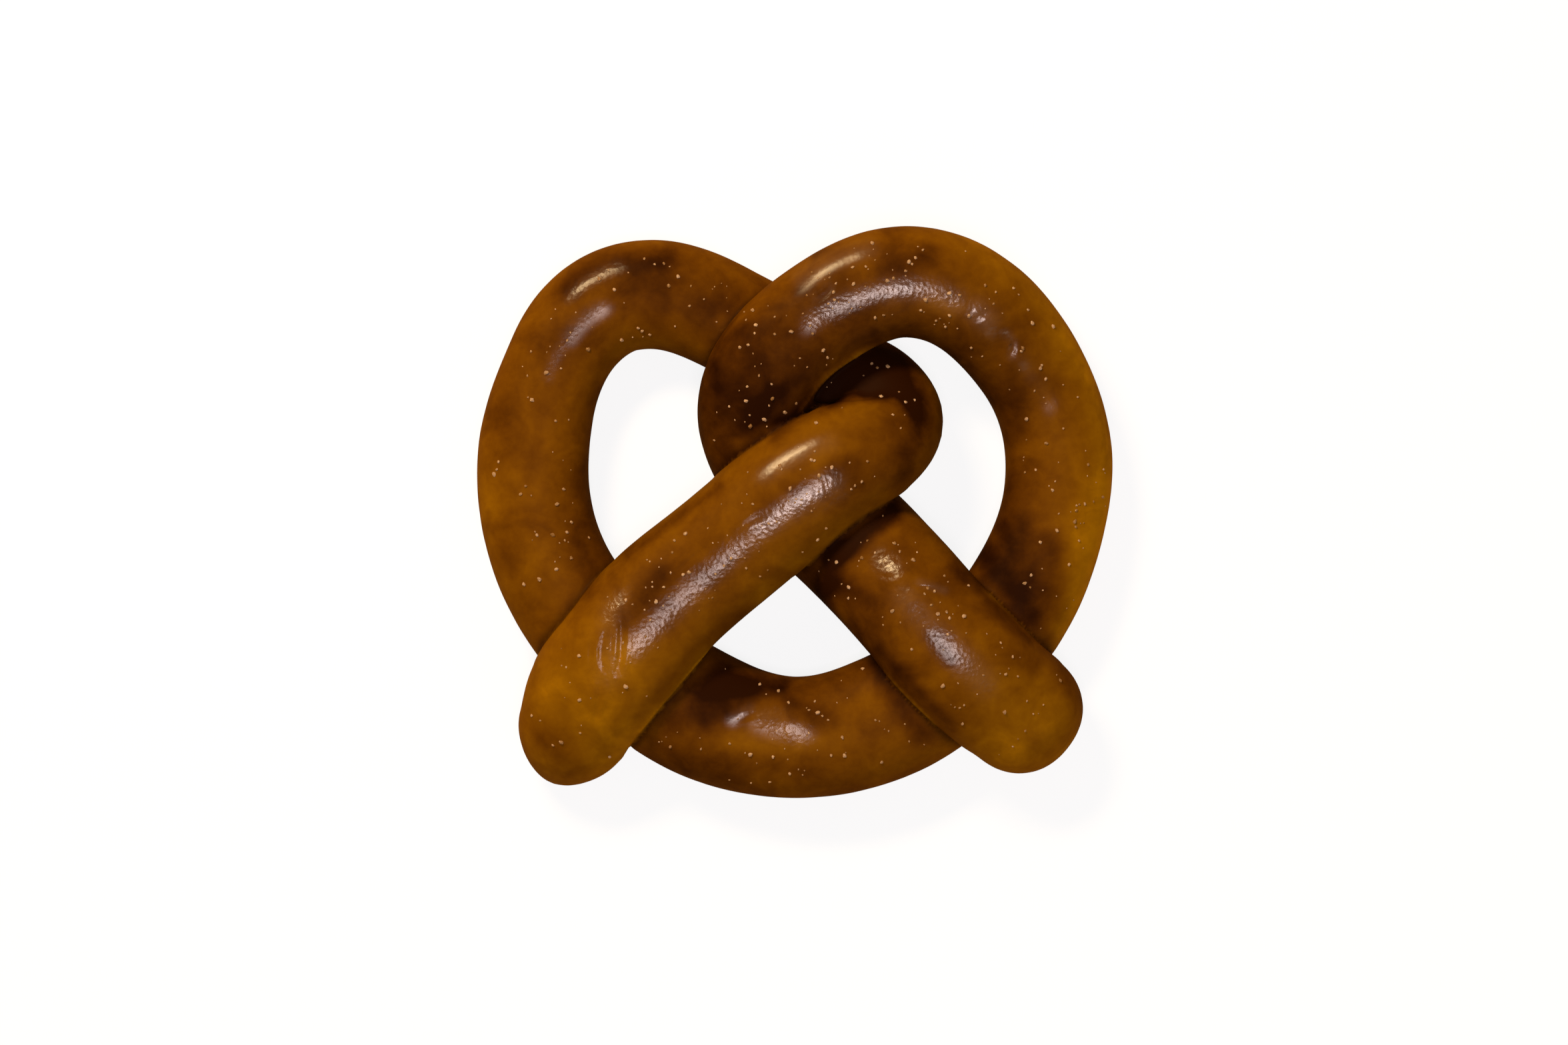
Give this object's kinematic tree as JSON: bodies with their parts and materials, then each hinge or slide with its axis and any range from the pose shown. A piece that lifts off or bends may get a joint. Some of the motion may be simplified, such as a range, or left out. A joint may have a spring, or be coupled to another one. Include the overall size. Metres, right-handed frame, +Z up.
{
  "type": "soft pretzel",
  "caption": "Baked soft pretzel: a rope of dough looped into two lobes, twisted and fused, with a glossy brown crust and fine salt; rests flat on its underside.",
  "frame": {"origin": "centre of the footprint, at the level of the surface it rests on", "axes": "+X across the two lobes, +Y from the rope ends towards the lobes' tops, +Z up"},
  "size_m": [0.1265, 0.1134, 0.0269],
  "materials": {
    "baked_crust": "glossy lye-baked crust, mottled from amber to dark brown",
    "salt_crystal": "fine pale tan crystals baked into the glaze"
  },
  "bodies": {
    "root": {"pretzel": "baked_crust"}
  },
  "joints": []
}
